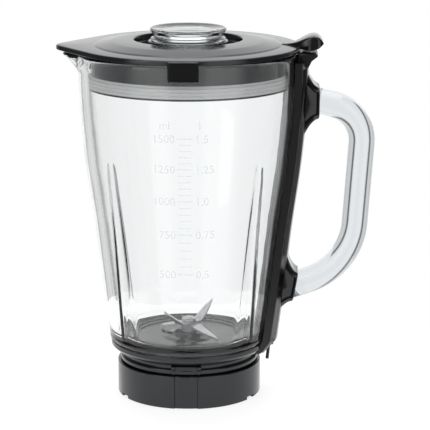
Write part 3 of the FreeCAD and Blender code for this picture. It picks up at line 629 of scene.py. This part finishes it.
def handle_rail():
    half = RAIL_WIDTH / 2
    rail = band("handle_rail_channel", half, RAIL_GAP, RAIL_GAP + RAIL_THICK,
                RAIL_LOW.z, RAIL_TOP, (0.2, 0.3))
    dress(rail, DEEP_SATIN, "black_plastic", "handle_rail")
    cover = band("rail_cover_strip", half - 0.3, RAIL_GAP + RAIL_THICK - 0.4,
                 RAIL_GAP + RAIL_THICK + COVER_THICK, RAIL_LOW.z, COVER_HIGH.z, (0.0, 2.2))
    dress(cover, GLOSS, "black_plastic", "rail_cover")


def rail_head():
    """The head of the rail under the thumb tab, where the interlock rod's button comes out."""
    side = rounded([(72, 222, 1), (79.2, 222.4, 3), (81.0, 226.6, 2), (85.6, 230.2, 1),
                    (RAIL_HIGH.x - 2.2, RAIL_HIGH.z, 0.6), (72, RAIL_HIGH.z, 0.6)])
    middle = Vector((80, 225))
    rings = []
    for y, inset in ((-12, 0.6), (-11.3, 0), (11.3, 0), (12, 0.6)):
        rings.append([(p.x + (middle.x - p.x) * inset * 0.08, y,
                       p.y + (middle.y - p.y) * inset * 0.1) for p in side])
    head = skin("rail_head", rings, "jug", sharp=30)
    return dress(head, DEEP_SATIN, "black_plastic")


UPPER_FACE, UPPER_DROOP = Vector((86.6, 0, 198.6)), math.radians(12.5)
LOWER_FACE, LOWER_RISE = Vector((71.8, 0, 73.9)), math.radians(19)
PANEL_SINK = 1.3


def socket(name, node, face, tilt, half, depth, up, down):
    """A flared block that carries one end of the handle, with a sunk panel on each side."""
    out = Vector((math.cos(tilt), 0, -math.sin(tilt)))
    rise = Vector((math.sin(tilt), 0, math.cos(tilt)))
    side_steps = (0, 0.06, 0.14, 0.19, 0.3, 0.5, 0.7, 0.81, 0.86, 0.94, 1)
    rings = []
    for t in (0, 0.035, 0.1, 0.17, 0.24, 0.32, 0.42, 0.52, 0.62, 0.72, 0.82, 0.91, 1):
        top = half + up * t ** 1.9
        low = half + down * t ** 1.9
        wide = 12.4 + 2.2 * t ** 2 - 0.7 * (1 - ease(0, 0.035, t))
        trim = 0.7 * (1 - ease(0, 0.035, t))
        inside = ease(0.1, 0.17, t)
        ring = []
        for way in (-1, 1):
            steps = side_steps if way < 0 else side_steps[::-1]
            for share in steps:
                z = -(low - trim) + (top + low - 2 * trim) * share
                edge = min(share, 1 - share)
                corner = 2.6 * (1 - min(edge / 0.14, 1)) ** 2
                sink = PANEL_SINK * inside * ease(0.14, 0.19, edge)
                crown = (max(0, 1 - ((share - 0.5) / 0.31) ** 2)
                         * max(0, 1 - ((t - 0.45) / 0.4) ** 2))
                y = way * (wide - corner - sink * (1 - crown))
                ring.append(face - out * depth * t + rise * z + Vector((0, y, 0)))
        rings.append(ring)
    block = skin(name, rings, "jug", sharp=28)
    return dress(block, GLOSS, "black_plastic", node)


GRIP_DEPTH, GRIP_WIDTH = 17.3, 19.9
# how far out the bar's two bends stand, and their radii
GRIP_TOP_OUT, GRIP_LOW_OUT = 116.3, 108.8
GRIP_BENDS = (25, 45)


def glass_handle():
    """The D-shaped glass bar: one oval section along a line with two wide bends."""
    top_way = Vector((math.cos(UPPER_DROOP), 0, -math.sin(UPPER_DROOP)))
    low_way = Vector((math.cos(LOWER_RISE), 0, math.sin(LOWER_RISE)))
    start, end = UPPER_FACE - top_way * 3, LOWER_FACE - low_way * 6
    corner_top = UPPER_FACE + top_way * ((GRIP_TOP_OUT - UPPER_FACE.x) / top_way.x)
    corner_low = LOWER_FACE + low_way * ((GRIP_LOW_OUT - LOWER_FACE.x) / low_way.x)
    line = [start, corner_top, corner_low, end]
    route = [start]
    for i, radius in enumerate(GRIP_BENDS, 1):
        back = (line[i - 1] - line[i]).normalized()
        ahead = (line[i + 1] - line[i]).normalized()
        half = back.angle(ahead) / 2
        reach = radius / math.tan(half)
        centre = line[i] + (back + ahead).normalized() * (radius / math.sin(half))
        first, last = line[i] + back * reach - centre, line[i] + ahead * reach - centre
        turn = first.rotation_difference(last)
        for step in range(17):
            route.append(centre + Matrix.Rotation(turn.angle * step / 16, 3, turn.axis) @ first)
    route.append(end)
    rings = []
    for i, place in enumerate(route):
        before, after = route[max(i - 1, 0)], route[min(i + 1, len(route) - 1)]
        along = (after - before).normalized()
        across = Vector((0, 1, 0))
        outward = along.cross(across)
        ring = []
        for j in range(48):
            a = math.tau * j / 48
            ring.append(place + across * math.cos(a) * GRIP_WIDTH / 2
                        + outward * math.sin(a) * GRIP_DEPTH / 2)
        rings.append(ring)
    handle = skin("glass_handle_bar", rings, "jug", sharp=50)
    return dress(handle, HANDLE_GLASS, "handle_glass", "glass_handle")


# ---------------------------------------------------------------- blade unit


def blade_carrier():
    carrier = lathe("blade_carrier_dish", [
        (37.2, 6.9, 0.3), (43, 6.9, 0.4), (43, 9, 0.4), (39.2, 9, 0.3), (39.2, 37.4, 0.5),
        (38.6, 38.9, 0.5), (36.4, 38.9, 0.8), (35.2, 38.1, 0.8), (18, 38.1, 1.5), (15.5, 38.9, 1.2),
        (11.6, 39.4, 1), (9.6, 41, 0.8), (6.5, 41, 0.2), (6.5, 20, 0.3), (10, 20, 0.5), (10, 36, 2),
        (37.2, 36, 1)], "blade_unit", 192, 35)
    return dress(carrier, GLOSS, "black_plastic", "blade_carrier")


BLADE_SEAT = 45.2
BLADE_THICK = 1.4
HUB_HALF, HUB_SIDE = 7.6, 4.5
WING_STEPS = (1.0, 0.985, 0.94, 0.86, 0.74, 0.58, 0.4, 0.22, 0.1, 0.04, 0.0)
BEND_RUN = 1.5
EDGE_THICK = 0.25


def blade_pair(name, node, low, reach, angle, bend):
    """Two wings on a flat hub strip, bent at its ends and ground thin on the leading edge."""
    turned = Matrix.Rotation(math.radians(angle), 3, "Z")
    pieces = []
    for side, ending in ((-1, "_a"), (1, "_b")):
        rings = []
        for t in WING_STEPS:
            lead = HUB_SIDE - 0.6 * t - 3.4 * max(0, (t - 0.72) / 0.28) ** 1.7
            trail = -HUB_SIDE + 5.6 * t ** 1.5
            lead = max(lead, trail + 0.25)
            edge = min(2.2, (lead - trail) * 0.6)
            thin = EDGE_THICK + (BLADE_THICK - EDGE_THICK) * (1 - ease(0.0, 0.12, t))
            section = [(trail, 0), (lead, 0), (lead, thin), (lead - edge, BLADE_THICK),
                       (trail, BLADE_THICK)]
            past = reach * t
            lift = math.radians(bend) * (min(past, BEND_RUN) / BEND_RUN)
            ring = []
            for y, z in section:
                x = HUB_HALF + past * math.cos(lift) - z * math.sin(lift)
                height = past * math.sin(lift) + z * math.cos(lift)
                ring.append(turned @ Vector((side * x, side * y, height)) + Vector((0, 0, low)))
            rings.append(ring)
        pieces.append(skin(name + ending, rings if side < 0 else rings[::-1], "rotor", sharp=25))
    ends = [hub_section(x, turned, low) for x in (-HUB_HALF - 0.05, HUB_HALF + 0.05)]
    pieces.append(skin(name + "_hub", ends, "rotor", sharp=25))
    for piece in pieces:
        dress(piece, BLADE_STEEL, "blade_steel")
    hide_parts(node)


def hub_section(x, turned, low):
    corners = [(-HUB_SIDE, 0), (HUB_SIDE, 0), (HUB_SIDE, BLADE_THICK), (-HUB_SIDE, BLADE_THICK)]
    return [turned @ Vector((x, y, z)) + Vector((0, 0, low)) for y, z in corners]


def blade_nut():
    """The low nut on the shaft's end, with its riveted tip."""
    nut = lathe("blade_nut_dome", [
        (0.3, 48.0, 0), (5, 48.0, 0.2), (5, 49.6, 0.5), (4.2, 50.4, 0.4), (2.6, 50.5, 0.3),
        (2.4, 51.1, 0.5), (0.3, 51.2, 0)], "rotor", 6 * 8, 30)
    return dress(nut, SHAFT_STEEL, "blade_steel", "blade_nut")


# ---------------------------------------------------------------- lid, seal and measuring cap

LID_RADIUS = 73.8
CREASE_RADIUS = 61.2
BEAK_SPREAD = math.radians(35.3)
BEAK_ROUND = 0.055
SKIRT_BORE, SKIRT_LIP, SEAL_GROOVE = 61.6, 65.7, 64.2
SEAL_FOOT = SEAL_LOW.z + 1.1
FILLER_BORE, FILLER_WALL = 24, 26.4


def teardrop(angle):
    """How far the lid's edge runs out past its circle to cover the spout."""
    off = abs(math.remainder(angle - math.pi, math.tau))
    left = BEAK_SPREAD - math.sqrt(off * off + BEAK_ROUND * BEAK_ROUND)
    return LID_RADIUS / math.cos(left) - LID_RADIUS if left > 0 else 0


def lid_shell():
    """The lid: a flat rim with a beak, a low dome inside a crease, and the filler's sunk seat."""
    count = 360
    under = 232.3
    outline = rounded([
        (LID_RADIUS, under, 0.7), (LID_RADIUS, 235.7, 1.3), (CREASE_RADIUS + 0.8, 236.0, 0.8),
        (CREASE_RADIUS - 0.6, 236.7, 1.5), (50, 238.6, 14), (35.8, 239.7, 1.0), (35.2, 235.2, 0.8),
        (FILLER_WALL, 235.2, 0.6), (FILLER_WALL, 238.6, 0.7), (FILLER_BORE, 238.6, 0.5),
        (FILLER_BORE, 222, 0.4), (FILLER_WALL, 222, 0.4), (FILLER_WALL, 232.8, 1), (38, 232.8, 1),
        (SKIRT_BORE, 233.2, 1.2), (SKIRT_BORE, SEAL_LOW.z, 0.5), (SKIRT_LIP, SEAL_LOW.z, 0.4),
        (SKIRT_LIP, SEAL_FOOT, 0.3), (SEAL_GROOVE, SEAL_FOOT, 0.1), (SEAL_GROOVE, 231.9, 0.3),
        (65, under, 0.3)])
    rings = []
    for p in outline:
        share = ease(CREASE_RADIUS + 0.9, LID_RADIUS, p.x) if p.y > under - 0.5 else 0
        rings.append(circle_ring(lambda a, r=p.x, s=share: r + teardrop(a) * s, p.y, count))
    lid = skin("lid_crown", rings, "lid", loop=True, sharp=35)
    return dress(lid, SATIN, "black_plastic", "lid_shell")


def side_tab(name, angle0):
    """A tab that hangs from the lid over the jar's rim, with a thin frame round its face."""
    half, low = 9.8, 222.4
    face = rounded([(-half, low, 0.8), (half, low, 0.8), (half, 235.2, 0.6), (-half, 235.2, 0.6)])
    middle = Vector((0, (low + 235.2) / 2))
    layers = [(73.5, 0), (76.6, 0), (77, 0.4), (77, 1.3), (76.6, 1.5)]
    rings = []
    for radius, inset in layers:
        ring = []
        for p in face:
            x = p.x - math.copysign(min(inset, abs(p.x)), p.x)
            z = p.y - math.copysign(min(inset, abs(p.y - middle.y)), p.y - middle.y)
            ring.append(polar(radius, angle0 + x / radius, z))
        rings.append(ring)
    tab = skin(name, rings, "lid", sharp=30)
    return dress(tab, GLOSS, "black_plastic")


# the thumb tab's upper and lower outlines: how far out, and the height there
THUMB_TOP = [(59.5, 236.4), (66, 236.9), (71, 238.2), (76, 240.6), (80, 242.2), (83, 242.6),
             (85.6, 241.8), (87.6, 240.0), (88.8, 237.9)]
THUMB_BASE = [(59.5, 234.5), (72, 234.2), (78, 233.2), (82, 233.4), (85.4, 234.6),
              (87.6, 236.3), (88.8, 237.5)]


def thumb_tab():
    """The thumb tab over the rail: it rises from a point at the crease to a rounded lip."""
    rings = []
    start, end = THUMB_TOP[0][0], THUMB_TOP[-1][0]
    steps = 30
    for i in range(steps + 1):
        t = math.sin(math.pi / 2 * i / steps)
        x = start + (end - start) * t
        top, base = smooth_through(THUMB_TOP, x), smooth_through(THUMB_BASE, x)
        half = 0.9 + 10.1 * ease(0.0, 0.75, t) - 2.2 * max(0, (t - 0.86) / 0.14) ** 2
        round_top = min(1.6, (top - base) * 0.4)
        section = rounded([(-half, base, 0.1), (half, base, 0.1), (half * 0.94, top, round_top),
                           (-half * 0.94, top, round_top)], steps=4)
        rings.append([(x, p.x, p.y) for p in section])
    tab = skin("thumb_tab", rings, "lid", sharp=38)
    return dress(tab, GLOSS, "black_plastic")


def lid_seal():
    """The soft ring round the skirt: three ridges that press on the jar's wall."""
    outline = [(SEAL_GROOVE, SEAL_FOOT, 0.1), (64.8, SEAL_FOOT, 0.3)]
    for ridge in range(3):
        low = SEAL_FOOT + 0.2 + 2.5 * ridge
        outline += [(66.05, low, 0.7), (66.05, low + 1.5, 0.7),
                    (64.9, low + 1.8, 0.3), (64.9, low + 2.3, 0.3)]
    outline += [(SEAL_GROOVE, SEAL_HIGH.z, 0.2)]
    seal = lathe("lid_seal_ring", outline, "lid", 240, 50)
    return dress(seal, SILICONE, "seal_silicone", "lid_seal")


def skirt_bar():
    """A long raised bar with rounded ends on the skirt, to the right of the front tab."""
    outline = rounded([(-80, 223.4, 1.9), (-44, 223.4, 1.9), (-44, 227.4, 1.9), (-80, 227.4, 1.9)],
                      steps=6)
    middle = Vector((-62, 225.4))
    base, high = 64.0, 0.9
    rings = []
    for radius, shrink in ((base, 0), (base + high - 0.3, 0), (base + high, 0.35)):
        ring = []
        for p in outline:
            off = p - middle
            x = p.x - math.copysign(min(shrink, abs(off.x)), off.x)
            z = p.y - math.copysign(min(shrink, abs(off.y)), off.y)
            ring.append(polar(radius, math.radians(x), z))
        rings.append(ring)
    bar = skin("skirt_bar", rings, "lid", sharp=30)
    return dress(bar, SATIN, "black_plastic")


def measuring_cap():
    top = CAP_HIGH.z
    cap = lathe("measuring_cap_cup", [
        (0.3, top - 2.4, 0), (16, top - 2.2, 10), (22.6, top - 0.3, 4), (24.2, top, 0.6),
        (25.2, top - 0.7, 0.6), (25.2, top - 1.6, 0.7), (23.4, top - 3.6, 2), (22.6, 241.2, 2),
        (24.6, 240.4, 0.5), (24.6, 238.9, 0.3), (22.2, 238.9, 0.4), (22.2, 217, 0.5),
        (20.2, 217, 0.5), (20.2, 242.4, 1.5), (0.3, top - 4.4, 0)], "cap", 192, 35)
    return dress(cap, CAP_PLASTIC, "clear_plastic", "measuring_cap")


# ---------------------------------------------------------------- what CAD already shapes well

CAD_FINISHES = [
    ("jar_gasket", RUBBER), ("interlock_rod", DEEP_SATIN), ("carrier_seal", RUBBER),
    ("upper_bushing", BRONZE), ("lower_bushing", BRONZE), ("shaft_seal", RUBBER),
    ("blade_shaft", SHAFT_STEEL), ("blade_spacer", SHAFT_STEEL), ("thrust_washer", BRONZE),
    ("circlip", SPRING_STEEL), ("drive_coupling", SATIN), ("cap_seal", SILICONE),
    ("rail_screws", SPRING_STEEL), ("interlock_spring", SPRING_STEEL)]


def finish_cad_nodes():
    """Gives the pieces that keep their CAD shape the materials of the real ones."""
    for node, material in CAD_FINISHES:
        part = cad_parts[node]
        for slot in part.material_slots:
            slot.material = material


# ---------------------------------------------------------------- studio

FLOOR_RADIUS = 220


def studio_floor():
    """A pale round floor that glows a little, like a light table."""
    material, tree, shader = start_material(
        "pale_floor", Base_Color=linear("9A9A9A"), Roughness=0.6, Specular_IOR_Level=0.1,
        Emission_Color=linear("FFFFFF"), Emission_Strength=0.8)
    rim = circle_ring(FLOOR_RADIUS, 0, 96)
    floor = make_mesh("floor", rim, [tuple(range(96))], None)
    floor.data.materials.append(material)


def soft_light(name, place, aim, size, power):
    lamp = bpy.data.lights.new(name, "AREA")
    lamp.shape = "RECTANGLE"
    lamp.size, lamp.size_y = size
    lamp.energy = power
    holder = bpy.data.objects.new(name, lamp)
    holder.location = place
    holder.rotation_euler = (Vector(aim) - Vector(place)).to_track_quat("-Z", "Y").to_euler()
    bpy.context.scene.collection.objects.link(holder)


# the room's brightness by direction, from the front (-1) round to the back (1): what is mirrored
# in the surfaces, and what the glass shows behind it, where a thin dark frame draws its edges
MIRRORED_ROOM = [(-1, 0.2), (-0.97, 0.25), (-0.92, 1.1), (-0.62, 1.2), (-0.4, 0.12), (0.6, 0.12),
                 (0.9, 1.08)]
ROOM_THROUGH_GLASS = [(-1, 1.0), (-0.8, 0.95), (-0.5, 0.62), (0.6, 0.6), (0.76, 0.85),
                      (0.87, 0.85), (0.9, 0.14), (0.92, 0.14), (0.945, 1.06)]


def room_ramp(tree, facing, room):
    ramp = add(tree, "ShaderNodeValToRGB", {"Fac": facing})
    stops = ramp.color_ramp.elements
    while len(stops) < len(room):
        stops.new(0.5)
    for stop, (direction, grey) in zip(stops, room):
        stop.position = (direction + 1) / 2
        stop.color = (grey, grey * 1.002, grey * 1.006, 1)
    return ramp.outputs["Color"]


def studio():
    """A white surround, with one grey room mirrored in the surfaces and another behind the glass."""
    world = bpy.data.worlds.new("white_studio")
    world.use_nodes = True
    tree = world.node_tree
    place = add(tree, "ShaderNodeTexCoord")
    level = add(tree, "ShaderNodeVectorMath", {0: place.outputs["Generated"], 1: (1, 1, 0)},
                operation="MULTIPLY")
    heading = add(tree, "ShaderNodeVectorMath", {0: level.outputs["Vector"]}, operation="NORMALIZE")
    split = add(tree, "ShaderNodeSeparateXYZ", {"Vector": heading.outputs["Vector"]})
    share = add(tree, "ShaderNodeMapRange", {"Value": split.outputs["Y"], "From Min": -1.0})
    facing = share.outputs["Result"]
    seen = add(tree, "ShaderNodeLightPath")
    light = add(tree, "ShaderNodeMix", {"Factor": seen.outputs["Is Transmission Ray"],
                                        6: room_ramp(tree, facing, MIRRORED_ROOM),
                                        7: room_ramp(tree, facing, ROOM_THROUGH_GLASS)},
                data_type="RGBA")
    backdrop = add(tree, "ShaderNodeMix", {"Factor": seen.outputs["Is Camera Ray"],
                                           6: light.outputs[2], 7: (1, 1, 1, 1)}, data_type="RGBA")
    background = tree.nodes["Background"]
    tree.links.new(backdrop.outputs[2], background.inputs["Color"])
    background.inputs["Strength"].default_value = 1.0
    bpy.context.scene.world = world
    soft_light("top_light", (0, 0.2, 1.6), (0, 0, 0.1), (1.6, 1.2), 14)
    soft_light("left_light", (-1.25, -1.15, 0.75), (0, 0, 0.12), (0.6, 1.3), 2)


def camera():
    """A long lens, a little above the lid and a little to the right of the front."""
    lens = bpy.data.cameras.new("camera")
    lens.sensor_width = 36
    lens.lens = 172.2
    lens.clip_end = 30
    holder = bpy.data.objects.new("camera", lens)
    holder.location = (0.0586, -1.3417, 0.427)
    holder.rotation_euler = (math.radians(90 - 12.85), 0, math.radians(1.75))
    bpy.context.scene.collection.objects.link(holder)
    bpy.context.scene.camera = holder
    bpy.context.scene.view_settings.view_transform = "Standard"


camera()
studio()
studio_floor()
glass_jar()
volume_scale()
locking_collar()
jar_base_ring()
front_stop()
handle_rail()
rail_head()
socket("upper_socket_block", "upper_socket", UPPER_FACE, math.radians(0.6), 10.2, 13, 22.0, 18.0)
socket("lower_socket_block", "lower_socket", LOWER_FACE, math.radians(10.4), 9.8, 13, 19.5, 19.0)
glass_handle()
blade_carrier()
blade_pair("upper_blade_pair", "upper_blade", BLADE_SEAT + BLADE_THICK, 19.6, 45, 36)
blade_pair("lower_blade_pair", "lower_blade", BLADE_SEAT, 20.5, -45, -17)
blade_nut()
lid_shell()
side_tab("front_tab", -math.pi / 2)
side_tab("rear_tab", math.pi / 2)
thumb_tab()
skirt_bar()
lid_seal()
measuring_cap()
finish_cad_nodes()
